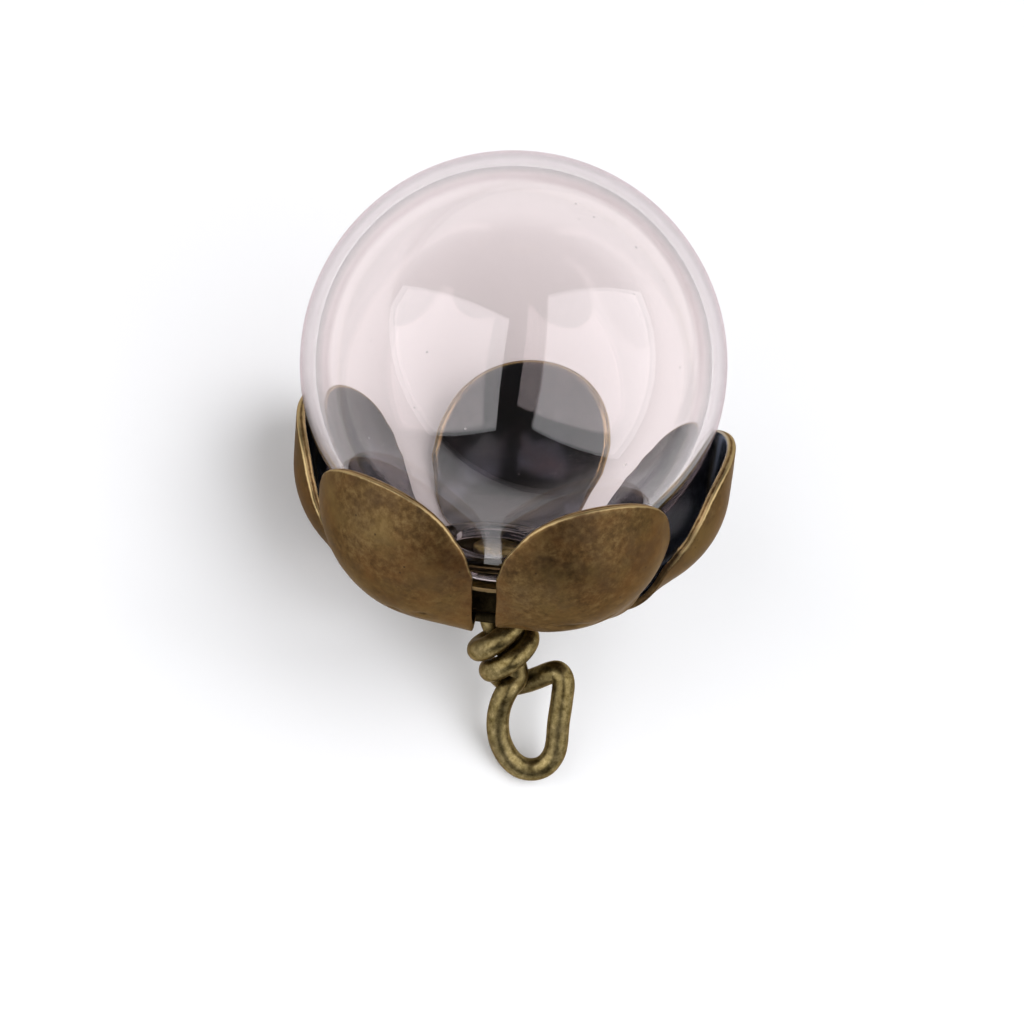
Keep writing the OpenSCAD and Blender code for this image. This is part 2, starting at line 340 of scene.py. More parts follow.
@dataclass(frozen=True)
class WireRoute:
    """The middle line of the bent wire in the upright pendant's frame, in mm."""

    sizes: Sizes = SIZES
    loop: Sequence[LoopStep] = LOOP_SHAPE
    loop_left: float = 0.25
    loop_below: float = 2.05
    wrap_above: float = 0.65
    stem_shares: Sequence[float] = (-0.4, -0.85)
    lean_shares: Sequence[float] = (0.25, 1.3, 2)
    start_part: float = 1 / 24

    @staticmethod
    def smooth(points: Sequence[Vector], steps: int) -> list[Vector]:
        """A smooth curve through chosen points.

        Args:
            points: The chosen points.
            steps: Points for each step between two of them.

        Returns:
            The curve's points, without the last one.
        """
        last, made = len(points) - 1, []
        for i in range(last):
            a, b = points[max(0, i - 1)], points[i]
            c, d = points[i + 1], points[min(last, i + 2)]
            for j in range(steps):
                t = j / steps
                made.append((2 * b + (c - a) * t + (2 * a - 5 * b + 4 * c - d) * t ** 2
                             + (3 * b - a - 3 * c + d) * t ** 3) / 2)
        return made

    def points(self, steps: int = 3, turn_steps: int = 24) -> list[Vector]:
        """Points from the head to the cut end.

        Args:
            steps: Points for each step of the stem and the loop.
            turn_steps: Points for each turn of the wrap.

        Returns:
            The points in mm.
        """
        s = self.sizes
        pitch = s.wire_d + s.wrap_gap
        lean = math.radians(s.wrap_lean)
        down = Vector((math.sin(lean), 0, -math.cos(lean)))
        right = Vector((math.cos(lean), 0, math.sin(lean)))
        foot = Vector((0, 0, -s.stem_len))
        top = -s.stem_len - self.loop_below * pitch
        start = s.stem_len + self.wrap_above * s.wire_d
        stem = [Vector((0, 0, z)) for z in (s.lip_z + s.head_t / 2, s.boss_h / 2,
                                            *(share * s.stem_len for share in self.stem_shares))]
        stem += [foot + down * share * pitch for share in self.lean_shares]
        loop = [Vector(((self.loop_left + p.across) * s.loop_w, p.back * s.wire_d,
                        top - p.down * s.loop_len)) for p in self.loop]
        wrap = []
        first = -round(turn_steps * self.start_part)
        for i in range(first, math.ceil(s.wrap_angle / 360 * turn_steps) + 1):
            turned = 2 * math.pi * i / turn_steps
            wrap.append(foot + down * (start - pitch * turned / (2 * math.pi))
                        - pitch * math.cos(turned) * right
                        + pitch * math.sin(turned) * Vector((0, -1, 0)))
        return self.smooth(stem + loop + [wrap[0]], steps) + wrap

    @staticmethod
    def frames(points: Sequence[Vector]) -> list[Matrix]:
        """Frames along a route that never twist.

        Args:
            points: The route's points.

        Returns:
            A frame for each point, with its Z along the route.
        """
        last, side, made = len(points) - 1, Vector((1, 0, 0)), []
        for i, point in enumerate(points):
            ahead = (points[min(last, i + 1)] - points[max(0, i - 1)]).normalized()
            side = (side - side.dot(ahead) * ahead).normalized()
            turn = Matrix((side, ahead.cross(side), ahead)).transposed().to_4x4()
            made.append(Matrix.Translation(point) @ turn)
        return made


@dataclass(frozen=True)
class RestPose:
    """How the pendant lies by itself: on two petals and the end of its loop."""

    skin: PetalSkin = PetalSkin()
    wire: WireRoute = WireRoute()
    rest_slot: int = 3
    least_lean: float = 10.0
    most_lean: float = 70.0
    most_roll: float = 10.0
    halvings: int = 16
    sides: int = 12

    @staticmethod
    def down(azimuth: float, lean: float) -> Vector:
        """The way down to the ground for an azimuth and a lean of the axis, in degrees."""
        azimuth, lean = math.radians(azimuth), math.radians(lean)
        return Vector((math.cos(lean) * math.sin(azimuth),
                       -math.cos(lean) * math.cos(azimuth), -math.sin(lean)))

    @staticmethod
    def reach(points: Iterable[Vector], way: Vector) -> float:
        """How far the points reach in a direction."""
        return max(p.dot(way) for p in points)

    def halve(self, low: float, high: float, too_far: Callable[[float], bool]) -> float:
        """The angle at which too_far begins to hold.

        Args:
            low: Least angle.
            high: Greatest angle.
            too_far: Says if an angle lies beyond the one that is wanted.

        Returns:
            The angle in degrees.
        """
        for _ in range(self.halvings):
            middle = (low + high) / 2
            low, high = (low, middle) if too_far(middle) else (middle, high)
        return (low + high) / 2

    def matrix(self) -> Matrix:
        """Finds how the pendant lies by itself.

        Returns:
            The matrix from the upright pendant's millimetres to the lying one's metres.
        """
        s, reach, down = self.skin.sizes, self.reach, self.down
        petals = [self.skin.coarse_points(petal) for petal in range(len(self.skin.bends))]
        sheet = [p for petal in petals for p in petal]
        radius = s.wire_d / 2
        rings = [m @ Vector((radius * math.cos(a), radius * math.sin(a), 0))
                 for m in self.wire.frames(self.wire.points())
                 for a in (2 * math.pi * i / self.sides for i in range(self.sides))]
        before, after = petals[self.rest_slot - 1], petals[self.rest_slot % len(petals)]

        def find_lean(azimuth: float) -> float:
            """The lean at which the wire and the petals reach the ground together."""
            return self.halve(self.least_lean, self.most_lean, lambda lean: reach(
                rings, down(azimuth, lean)) > reach(sheet, down(azimuth, lean)))

        slot = self.rest_slot * self.skin.step - s.cap_turn
        first = find_lean(slot)
        azimuth = self.halve(slot - self.most_roll, slot + self.most_roll, lambda a: reach(
            before, down(a, first)) <= reach(after, down(a, first)))
        to_ground = down(azimuth, find_lean(azimuth))
        turn = math.radians(azimuth)
        across = Vector((-math.cos(turn), -math.sin(turn), 0))
        ahead = across.cross(to_ground)

        def extent(way: Vector) -> float:
            """How far the whole pendant reaches in a direction."""
            return max(s.globe_r + s.globe_z * way.z, reach(sheet, way), reach(rings, way))

        shift = Vector(((extent(-across) - extent(across)) / 2,
                        (extent(-ahead) - extent(ahead)) / 2, extent(to_ground)))
        axes = Matrix((across, ahead, -to_ground)).to_4x4()
        return Matrix.Scale(MM, 4) @ Matrix.Translation(shift) @ axes


POSE = RestPose().matrix()


# Finishes

class Graph:
    """Adds and joins the nodes of one material."""

    def __init__(self, name: str) -> None:
        """Makes the material with an empty tree.

        Args:
            name: The material's name.
        """
        self.material = bpy.data.materials.new(name)
        self.material.use_nodes = True
        self.tree = self.material.node_tree
        self.tree.nodes.clear()

    def add(self, kind: str, sockets: dict | None = None, **settings: object) -> bpy.types.Node:
        """Adds a node.

        Args:
            kind: The node's type, without its ShaderNode prefix.
            sockets: Values or output sockets for its inputs, by name or number.
            settings: Attributes of the node.

        Returns:
            The new node.
        """
        node = self.tree.nodes.new("ShaderNode" + kind)
        for name, value in settings.items():
            setattr(node, name, value)
        for name, value in (sockets or {}).items():
            if isinstance(value, Socket):
                self.tree.links.new(value, node.inputs[name])
            else:
                node.inputs[name].default_value = value
        return node

    def ramp(self, value: Socket, stops: Sequence[tuple[float, Colour]]) -> Socket:
        """A colour ramp.

        Args:
            value: What the colours are chosen by.
            stops: A (place, colour) pair for each stop.

        Returns:
            The colour.
        """
        node = self.add("ValToRGB", {0: value})
        while len(node.color_ramp.elements) < len(stops):
            node.color_ramp.elements.new(0.5)
        for element, (place, colour) in zip(node.color_ramp.elements, stops):
            element.position = place
            element.color = (*colour, 1)
        return node.outputs[0]

    def range(self, value: Socket, low: float, high: float,
              to_low: float = 0.0, to_high: float = 1.0) -> Socket:
        """Maps a value from one range to another, without going past the second."""
        return self.add("MapRange", {0: value, 1: low, 2: high, 3: to_low, 4: to_high}).outputs[0]

    def math(self, operation: str, a: object, b: object = 0.0) -> Socket:
        """The result of an operation on two values."""
        return self.add("Math", {0: a, 1: b}, operation=operation).outputs[0]

    def place(self) -> Socket:
        """The object's own coordinates, in metres."""
        return self.add("TexCoord").outputs["Object"]

    def noise(self, scale: float, detail: float = 3.0, rough: float = 0.55,
              seed: float = 0.0) -> Socket:
        """Noise on the object's coordinates.

        Args:
            scale: Turns in a millimetre.
            detail: How many finer layers it has.
            rough: How strong the finer layers are.
            seed: A number that makes it differ from the others.

        Returns:
            A value round 0.5.
        """
        return self.add("TexNoise", {"Vector": self.place(), "W": seed, "Scale": scale / MM,
                                     "Detail": detail, "Roughness": rough},
                        noise_dimensions="4D").outputs[0]

    def specks(self, cell: float, size: float, share: float) -> Socket:
        """Scattered round specks.

        Args:
            cell: Distance between the places where a speck may lie, in mm.
            size: Radius of a speck, in mm.
            share: Share of the places that hold one.

        Returns:
            1 on a speck and 0 beside it.
        """
        cells = self.add("TexVoronoi", {"Vector": self.place(), "Scale": 1 / (cell * MM)})
        near = self.range(cells.outputs["Distance"], size / cell, 0.5 * size / cell)
        drawn = self.add("SeparateColor", {0: cells.outputs["Color"]}).outputs[0]
        return self.math("MULTIPLY", near, self.math("LESS_THAN", drawn, share))

    def mix(self, share: object, a: object, b: object) -> Socket:
        """Mixes two colours.

        Args:
            share: Share of the second colour.
            a: The first colour, as a value or a socket.
            b: The second colour, as a value or a socket.

        Returns:
            The mixed colour.
        """
        node = self.add("Mix", data_type="RGBA")
        for index, value in ((0, share), (6, a), (7, b)):
            if isinstance(value, Socket):
                self.tree.links.new(value, node.inputs[index])
            else:
                node.inputs[index].default_value = value if index == 0 else (*value, 1)
        return node.outputs[2]

    def finish(self, shader: bpy.types.Node) -> bpy.types.Material:
        """Joins the last shader to the output."""
        self.add("OutputMaterial", {"Surface": shader.outputs[0]})
        return self.material


@dataclass(frozen=True)
class Patch:
    """Clouds of another colour in a finish: their size in mm, the share they cover, a seed."""

    colour: Colour
    size: float
    cover: float
    seed: float


@dataclass(frozen=True)
class AgedMetal:
    """Old bronze: a mottled skin with clouds of other colours, specks, bright worn edges and
    painted shade in its creases.
    """

    name: str
    dark: Colour
    body: Colour
    light: Colour
    worn: Colour
    rough: Span
    patches: Sequence[Patch] = ()
    # The speck colour is also the colour of the painted shade in creases
    speck: Colour = (0.02, 0.014, 0.01)
    speck_share: float = 0.25
    slant: Colour = (0.72, 0.6, 0.48)
    lacquer: float = 0.0
    lacquer_rough: float = 0.32
    bump: float = 0.012
    bump_strength: float = 0.5
    fine_share: float = 0.7
    tones: tuple[float, float, float] = (0.4, 0.5, 0.61)
    patch_spread: float = 0.32
    patch_edge: Span = (-0.1, 0.16)
    patch_strength: float = 0.7
    speck_cell: float = 0.55
    speck_size: float = 0.07
    speck_strength: float = 0.7
    # Painted shade in creases: the span of negative edge values that darkens them, and how dark it
    # gets
    crease_shade_edge: Span = (-0.3, -0.9)
    crease_shade_strength: float = 0.85
    wear_edge: Span = (0.45, 0.85)
    wear_ragged: float = 1.1
    wear_polish: float = 0.08
    rough_edge: Span = (0.3, 0.7)
    grain_share: float = 0.4

    def clouds(self, g: Graph, fine: Socket) -> Socket:
        """The mottled colour with its patches and specks.

        Args:
            g: The material's nodes.
            fine: The fine noise.

        Returns:
            The colour.
        """
        mottle = g.math("ADD", g.math("MULTIPLY", g.noise(scale=0.3), 1 - self.fine_share),
                        g.math("MULTIPLY", fine, self.fine_share))
        colour = g.ramp(mottle, tuple(zip(self.tones, (self.dark, self.body, self.light))))
        before, after = self.patch_edge
        for patch in self.patches:
            blot = g.noise(scale=1 / patch.size, detail=4.0, rough=0.6, seed=patch.seed)
            edge = 0.5 + self.patch_spread * (0.5 - patch.cover)
            share = g.range(blot, edge + before, edge + after, 0.0, self.patch_strength)
            colour = g.mix(share, colour, patch.colour)
        specks = g.specks(self.speck_cell, self.speck_size, self.speck_share)
        return g.mix(g.math("MULTIPLY", specks, self.speck_strength), colour, self.speck)

    def build(self) -> bpy.types.Material:
        """Makes the material, which reads the mesh's edge attribute: wear over 0, painted shade in
        creases under it.

        Returns:
            The material.
        """
        g = Graph(self.name)
        fine = g.noise(scale=2.8, detail=6.0, rough=0.72, seed=1.0)
        grain = g.noise(scale=9.0, detail=3.0, rough=0.6, seed=2.0)
        edge = g.add("Attribute", attribute_name="edge").outputs["Fac"]
        # Painted shade: negative edge values darken the creases towards the speck colour
        crease_shade = g.range(edge, *self.crease_shade_edge, 0.0, self.crease_shade_strength)
        colour = g.mix(crease_shade, self.clouds(g, fine), self.speck)
        uneven = g.math("MULTIPLY", g.math("SUBTRACT", fine, 0.5), self.wear_ragged)
        wear = g.range(g.math("ADD", edge, uneven), *self.wear_edge)
        rough = g.range(fine, *self.rough_edge, *self.rough)
        height = g.math("ADD", g.math("MULTIPLY", fine, 1 - self.grain_share),
                        g.math("MULTIPLY", grain, self.grain_share))
        bump = g.add("Bump", {"Height": height, "Strength": self.bump_strength,
                              "Distance": self.bump * MM})
        return g.finish(g.add("BsdfPrincipled", {
            "Base Color": g.mix(wear, colour, self.worn), "Metallic": 1.0,
            "Roughness": g.math("SUBTRACT", rough, g.math("MULTIPLY", wear, self.wear_polish)),
            "Specular Tint": (*self.slant, 1), "Coat Weight": self.lacquer,
            "Coat Roughness": self.lacquer_rough, "Normal": bump.outputs[0]}))


@dataclass(frozen=True)
class BlownGlass:
    """Thin glass with a faint pink tint, painted shade straight through it and along its rim, and a
    few specks of dust.
    """

    name: str = "clear_blown_glass"
    # The tints hold the glass's pink and painted shade: darker straight through and mauve grey at
    # the rim
    tint: Colour = (0.855, 0.8, 0.797)
    slant_tint: Colour = (0.99, 0.932, 0.93)
    rim_shade_tint: Colour = (0.6, 0.5, 0.51)
    line: Colour = (0.8, 0.71, 0.73)
    shade_line_share: float = 0.75
    shade: Colour = (0.985, 0.98, 0.98)
    dust: Colour = (0.42, 0.38, 0.37)
    ior: float = 1.5
    tint_edge: Span = (0.03, 0.3)
    rim_shade_edge: Span = (0.6, 0.66)
    shade_line_edge: Span = (0.72, 0.92)
    dust_cell: float = 1.9
    dust_size: float = 0.075
    dust_share: float = 0.9
    dust_strength: float = 0.55
    dust_rough: float = 0.8

    def build(self) -> bpy.types.Material:
        """Makes the material.

        Returns:
            The material.
        """
        g = Graph(self.name)
        # Seen straight through it is pink with painted shade, paler at a slant, and painted shade
        # makes it mauve grey along its wall
        facing = g.add("LayerWeight", {"Blend": 0.5}).outputs["Facing"]
        tints = (self.tint, self.slant_tint, self.slant_tint, self.rim_shade_tint)
        tint = g.ramp(facing, tuple(zip((*self.tint_edge, *self.rim_shade_edge), tints)))
        glass = g.add("BsdfPrincipled", {"Base Color": tint, "Roughness": 0.0, "IOR": self.ior,
                                         "Transmission Weight": 1.0})
        # Painted shade: near the outline the wall turns into a mauve-grey see-through line
        line = g.add("BsdfTransparent", {"Color": (*self.line, 1)})
        whole = g.add("MixShader", {0: g.range(facing, *self.shade_line_edge, 0.0, self.shade_line_share),
                                    1: glass.outputs[0], 2: line.outputs[0]})
        dust = g.add("BsdfPrincipled", {"Base Color": (*self.dust, 1),
                                        "Roughness": self.dust_rough})
        specks = g.math("MULTIPLY", g.specks(self.dust_cell, self.dust_size, self.dust_share),
                        self.dust_strength)
        dusty = g.add("MixShader", {0: specks, 1: whole.outputs[0], 2: dust.outputs[0]})
        clear = g.add("BsdfTransparent", {"Color": (*self.shade, 1)})
        path = g.add("LightPath")
        unseen = g.math("MAXIMUM", path.outputs["Is Shadow Ray"], path.outputs["Is Diffuse Ray"])
        return g.finish(g.add("MixShader", {0: unseen, 1: dusty.outputs[0], 2: clear.outputs[0]}))


@dataclass(frozen=True)
class PaleFloor:
    """A plain pale surface."""

    name: str = "pale_floor"
    colour: Colour = (0.9, 0.9, 0.9)
    shaded: float = 0.99
    rough: float = 0.75

    def build(self) -> bpy.types.Material:
        """Makes the material.

        Returns:
            The material.
        """
        g = Graph(self.name)
        clouds = g.noise(scale=0.02, detail=2.0)
        tone = g.mix(clouds, self.colour, tuple(c * self.shaded for c in self.colour))
        return g.finish(g.add("BsdfPrincipled", {"Base Color": tone, "Roughness": self.rough}))


class Finish(Enum):
    """The finishes that the pendant shows."""

    SKIN = AgedMetal("antique_bronze", (0.05, 0.028, 0.011), (0.103, 0.059, 0.022),
                     (0.175, 0.112, 0.046), (0.37, 0.268, 0.128), rough=(0.36, 0.5), lacquer=0.05,
                     patches=(Patch((0.145, 0.064, 0.021), 3.2, 0.35, 5.0),
                              Patch((0.145, 0.095, 0.034), 2.4, 0.3, 9.0),
                              Patch((0.07, 0.043, 0.024), 1.5, 0.25, 13.0)))
    INSIDE = AgedMetal("blackened_bronze", (0.024, 0.028, 0.034), (0.041, 0.048, 0.06),
                       (0.064, 0.074, 0.092), (0.37, 0.28, 0.14), rough=(0.12, 0.22),
                       patches=(Patch((0.048, 0.026, 0.02), 3.5, 0.35, 21.0),
                                Patch((0.034, 0.046, 0.042), 2.8, 0.35, 25.0)),
                       speck=(0.4, 0.38, 0.33), speck_share=0.2, slant=(0.8, 0.85, 1.0),
                       bump=0.004)
    # Painted shade: a dark copy of the bronze for the boss and the slot ends, which lie in shadow
    # between the petals; the wear on its corner is real
    BOSS_PAINTED_SHADE = AgedMetal("shaded_bronze", (0.014, 0.01, 0.005), (0.026, 0.019, 0.009),
                     (0.05, 0.037, 0.017), (0.5, 0.37, 0.18), rough=(0.45, 0.6))
    WIRE = AgedMetal("wire_bronze", (0.085, 0.06, 0.02), (0.19, 0.145, 0.06),
                     (0.33, 0.255, 0.12), (0.5, 0.39, 0.19), rough=(0.28, 0.42),
                     patches=(Patch((0.08, 0.06, 0.03), 1.3, 0.35, 31.0),), speck_share=0.2,
                     bump=0.016)
    GLASS = BlownGlass()
    FLOOR = PaleFloor()


# Pieces

def put(name: str, data: bpy.types.ID) -> bpy.types.Object:
    """Adds an object to the scene.

    Args:
        name: Its name.
        data: Its mesh, light or camera.

    Returns:
        The object, at the origin.
    """
    obj = bpy.data.objects.new(name, data)
    bpy.context.scene.collection.objects.link(obj)
    return obj


def put_mesh(name: str, bm: bmesh.types.BMesh, finishes: Sequence[Finish]) -> bpy.types.Object:
    """Adds a built mesh to the scene and dresses it.

    Args:
        name: Its name.
        bm: The mesh as it was built, which is freed.
        finishes: Its finishes, by the numbers that its faces have.

    Returns:
        The object.
    """
    mesh = bpy.data.meshes.new(name)
    bm.to_mesh(mesh)
    bm.free()
    for finish in finishes:
        mesh.materials.append(finish.value.build())
    return put(name, mesh)


@dataclass
class Piece:
    """A piece of the pendant that stands for one CAD node."""

    name: str
    node: str
    slot: str
    finishes: Sequence[Finish]

    def shape(self, bm: bmesh.types.BMesh) -> None:
        """Builds the piece in the upright pendant's frame, in mm."""
        raise NotImplementedError

    def make(self) -> bpy.types.Object:
        """Builds, lays down and dresses the piece.

        Returns:
            The new object.
        """
        bm = bmesh.new()
        self.shape(bm)
        bmesh.ops.transform(bm, matrix=POSE, verts=bm.verts)
        bmesh.ops.recalc_face_normals(bm, faces=bm.faces)
        for face in bm.faces:
            face.smooth = True
        obj = put_mesh(self.name, bm, self.finishes)
        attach(obj, "root")
        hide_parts(self.node)
        LOG.info("%s: %d faces", self.name, len(obj.data.polygons))
        return obj


def rounded(points: Sequence[tuple[float, float]], radii: Sequence[float],
            steps: int = 5) -> list[Vector]:
    """A line through points whose inner corners are rounded.

    Args:
        points: Corners as (radius, height).
        radii: Rounding of each inner corner.
        steps: Parts of each arc.

    Returns:
        Points of the rounded line.
    """
    corners = [Vector(p) for p in points]
    made = [corners[0]]
    for before, corner, after, radius in zip(corners, corners[1:], corners[2:], radii):
        a, b = (before - corner).normalized(), (after - corner).normalized()
        half = a.angle(b) / 2
        reach = radius / math.tan(half)
        middle = corner + (a + b).normalized() * radius / math.sin(half)
        start, end = corner + a * reach - middle, corner + b * reach - middle
        sweep = start.angle(end)
        for i in range(steps + 1):
            t = i / steps
            made.append(middle + (start * math.sin((1 - t) * sweep) + end * math.sin(t * sweep))
                        / math.sin(sweep))
    return made + [corners[-1]]


@dataclass
class Globe(Piece):
    """The blown globe: one wall turned round the axis, with a neck and a rounded lip."""

    name: str = "glass_globe_blown"
    node: str = "glass_globe"
    slot: str = "clear_glass"
    finishes: Sequence[Finish] = (Finish.GLASS,)
    turns: int = 160
    fillet: float = 0.4
    roll: float = 0.25
    waves: float = 0.01
    wave_len: float = 4.5
    waves_from: float = 3.0
    globe_steps: int = 90
    bend_steps: int = 6
    lip_steps: int = 14
    weld: float = 1e-4

    def profile(self) -> list[Vector]:
        """The wall's outline.

        Returns:
            Points as (radius, height) from the top outside, round the lip, to the top inside.
        """
        s = SIZES
        inner_r, lip = s.globe_r - s.glass_wall, s.neck_wall / 2
        middle = Vector((s.mouth_r + lip, s.lip_z + lip))
        globe = Vector((0, s.globe_z))

        def arc(centre: Vector, radius: float, start: float, end: float, n: int) -> list[Vector]:
            """Points of an arc in n parts."""
            return [centre + radius * Vector((math.cos(a), math.sin(a)))
                    for a in (start + (end - start) * i / n for i in range(n + 1))]

        def bearing(centre: Vector, point: Vector) -> float:
            """The angle at which a point lies from a centre."""
            return math.atan2(point.y - centre.y, point.x - centre.x)

        # Outside, a fillet touches both the globe and the round lip
        to_globe, to_lip = s.globe_r + self.fillet, lip + self.fillet
        apart = (globe - middle).length
        along = (to_globe ** 2 - to_lip ** 2 + apart ** 2) / (2 * apart)
        way = (middle - globe) / apart
        hollow = (globe + way * along
                  + Vector((-way.y, way.x)) * math.sqrt(to_globe ** 2 - along ** 2))
        outside = arc(globe, s.globe_r, math.pi / 2, bearing(globe, hollow), self.globe_steps)
        foot_end = bearing(hollow, middle) % (2 * math.pi)
        foot = arc(hollow, self.fillet, bearing(hollow, globe), foot_end, self.bend_steps)[1:]
        mouth = arc(middle, lip, bearing(middle, hollow), -math.pi, self.lip_steps)[1:]
        # Inside, the throat rolls over into the globe
        reach = inner_r + self.roll
        bend = Vector((s.mouth_r + self.roll,
                       s.globe_z - math.sqrt(reach ** 2 - (s.mouth_r + self.roll) ** 2)))
        throat = arc(bend, self.roll, math.pi, bearing(bend, globe), self.bend_steps)
        inside = arc(globe, inner_r, bearing(globe, bend), math.pi / 2, self.globe_steps)[1:]
        outside[0].x = inside[-1].x = 0
        return outside + foot + mouth + throat + inside

    def shape(self, bm: bmesh.types.BMesh) -> None:
        """Turns the outline round the axis and lays faint waves in it.

        Args:
            bm: The mesh to build in.
        """
        verts = [bm.verts.new((p.x, 0, p.y)) for p in self.profile()]
        edges = [bm.edges.new(pair) for pair in zip(verts, verts[1:])]
        bmesh.ops.spin(bm, geom=verts + edges, cent=(0, 0, 0), axis=(0, 0, 1), dvec=(0, 0, 0),
                       angle=2 * math.pi, steps=self.turns, use_merge=True)
        bmesh.ops.remove_doubles(bm, verts=bm.verts, dist=self.weld)
        centre = Vector((0, 0, SIZES.globe_z))
        for vert in bm.verts:
            if vert.co.z > self.waves_from:
                wave = noise.noise(vert.co / self.wave_len)
                vert.co -= (vert.co - centre).normalized() * self.waves * (1 + wave)


@dataclass(frozen=True)
class Dent:
    """A crease in a petal: its place, half length and width, turn and depth, and the share of
    painted shade that darkens it.
    """

    petal: int
    along: float
    across: float
    length: float
    width: float
    turn: float
    depth: float
    crease_shade: float = 1.0

    def at(self, along: float, across: float) -> float:
        """How deep the crease is at a place on its petal.

        Args:
            along: Length from the rim.
            across: Length from the petal's middle line.

        Returns:
            The depth in mm.
        """
        turn = math.radians(self.turn)
        u, v = across - self.across, along - self.along
        u, v = u * math.cos(turn) + v * math.sin(turn), v * math.cos(turn) - u * math.sin(turn)
        return self.depth * math.exp(-(u / self.length) ** 2 - (v / self.width) ** 2)


# The last number of each crease is how much painted shade darkens it on the outer skin
DENTS = (
    Dent(0, 3.8, -0.6, 0.8, 0.24, 6, 0.16),
    Dent(0, 3.9, 1.5, 0.5, 0.22, 36, 0.16),
    Dent(0, 1.5, -2.6, 0.9, 1.0, 0, 0.55, 0.0),
    Dent(4, 3.5, 0.1, 0.4, 0.22, 10, 0.13),
    Dent(4, 3.4, 1.7, 0.3, 0.2, -10, 0.13),
)


@dataclass
class Cap(Piece):
    """The stamped cap: a raised boss with five cupped petals round it."""

    name: str = "flower_cap_bronze"
    node: str = "flower_cap"
    slot: str = "cap_bronze"
    finishes: Sequence[Finish] = (Finish.SKIN, Finish.INSIDE, Finish.BOSS_PAINTED_SHADE)
    skin: PetalSkin = field(default_factory=PetalSkin)
    dents: Sequence[Dent] = DENTS
    across: int = 48
    bridge: int = 4
    body_rows: int = 40
    tip_rows: int = 20
    rounding: float = 0.11
    border: Sequence[float] = (0.0, 0.3, 1.0, 2.2)
    edge_w: float = 0.06
    wall_wear: float = 0.35
    corner_gap: float = 0.09
    inset: float = 0.01
    worn_from: float = 2.5
    worn_full: float = 6.0
    foot_in: float = 0.02
    round_out: float = 0.22
    round_in: float = 0.12
    weld: float = 1e-4

    def boss_line(self, inside: bool) -> list[Vector]:
        """The outline of the boss on one side.

        Args:
            inside: True for the side of the glass, False for the side under it.

        Returns:
            Points as (radius, height) from the hole to the rim.
        """
        s = SIZES
        hole, top = s.wire_d / 2 + s.stem_gap, s.boss_h
        if inside:
            corners = [(hole, top), (s.boss_r - s.boss_draft, top),
                       (s.boss_r - self.foot_in, s.root_step + s.sheet_t),
                       (s.rim_r, s.root_step + s.sheet_t)]
            radii = [self.round_out, self.round_in]
        else:
            corners = [(hole, top - s.wall_t), (s.boss_r - s.boss_draft - s.wall_t, top - s.wall_t),
                       (s.boss_r - s.wall_t, 0.0), (s.rim_r, s.root_step)]
            radii = [self.round_in, self.round_out]
        return rounded(corners, radii)

    def column(self, index: int) -> tuple[int, int, bool]:
        """Where a column of the grid lies.

        Args:
            index: Number of the column, counted round the cap.

        Returns:
            The petal, the column's place across it, and True if it lies over a slot.
        """
        petal, place = divmod(index, self.across + self.bridge)
        petal %= len(self.skin.bends)
        return petal, place, place > self.across

    def share(self, place: int, count: int, half: float) -> float:
        """Share from -1 to 1 of a grid line, with close lines near the outline.

        Args:
            place: The line's number.
            count: Number of the last line; line 0 lies at -1.
            half: Half the width that the lines cover, in mm.

        Returns:
            The line's share of the half width.
        """
        side = -1 if 2 * place < count else 1
        from_edge = min(place, count - place)
        last = len(self.border) - 1
        if from_edge <= last:
            return side * (1 - self.border[from_edge] * self.rounding / half)
        inner = 1 - self.border[last] * self.rounding / half
        return side * inner * (count / 2 - from_edge) / (count / 2 - last)

    def ring_point(self, index: int, radius: float, height: float) -> Vector:
        """A point of the round boss or rim.

        Args:
            index: Number of the column.
            radius: Distance from the axis.
            height: Height over the foot of the boss.

        Returns:
            The point in mm.
        """
        petal, place, over_slot = self.column(index)
        slot = math.degrees(math.asin(SIZES.slot_w / 2 / SIZES.rim_r))
        half = self.skin.step / 2 - slot
        if over_slot:
            turn = half + 2 * slot * (place - self.across) / self.bridge
        else:
            turn = half * self.share(place, self.across, self.skin.half(petal, SIZES.root_len))
        azimuth = math.radians((petal + 0.5) * self.skin.step - SIZES.cap_turn + turn)
        return Vector((radius * math.sin(azimuth), -radius * math.cos(azimuth), height))

    def petal_place(self, petal: int, row: int, place: int) -> tuple[float, float, float]:
        """Where a grid point lies on its petal.

        Args:
            petal: Number of the petal.
            row: Row of the grid, counted from the root.
            place: Place of the column across the petal.

        Returns:
            Length along the petal, length across it, and distance from its outline, in mm.
        """
        s = SIZES
        body = self.skin.length(petal) - s.tip_len
        if row < self.body_rows:
            along = s.root_len + (body - s.root_len) * row / self.body_rows
            half = self.skin.half(petal, along)
            share = self.share(place, self.across, half)
            return along, share * half, (1 - abs(share)) * half
        # Round the tip the grid's lines follow the outline
        half = (s.petal_half + s.tip_len) / 2
        share = self.share(place, self.across, half)
        v = self.share(row - self.body_rows + self.tip_rows, 2 * self.tip_rows, half)
        level = max(abs(share), v)
        ring = level / math.hypot(share, v) if level else 1.0
        return body + s.tip_len * v * ring, s.petal_half * share * ring, (1 - level) * half

    def edge_share(self, along: float, gap: float) -> float:
        """How worn a point is: 1 on the edge of a petal's upper part, 0 well inside."""
        upper = (along - self.worn_from) / (self.worn_full - self.worn_from)
        return math.exp(-(gap / self.edge_w / 2) ** 2) * max(0.0, min(1.0, upper))

    def sink(self, gap: float) -> float:
        """How far a skin sinks at a distance from the outline, to round the edge."""
        left = max(0.0, self.rounding - gap)
        return self.rounding - math.sqrt(self.rounding ** 2 - left ** 2)

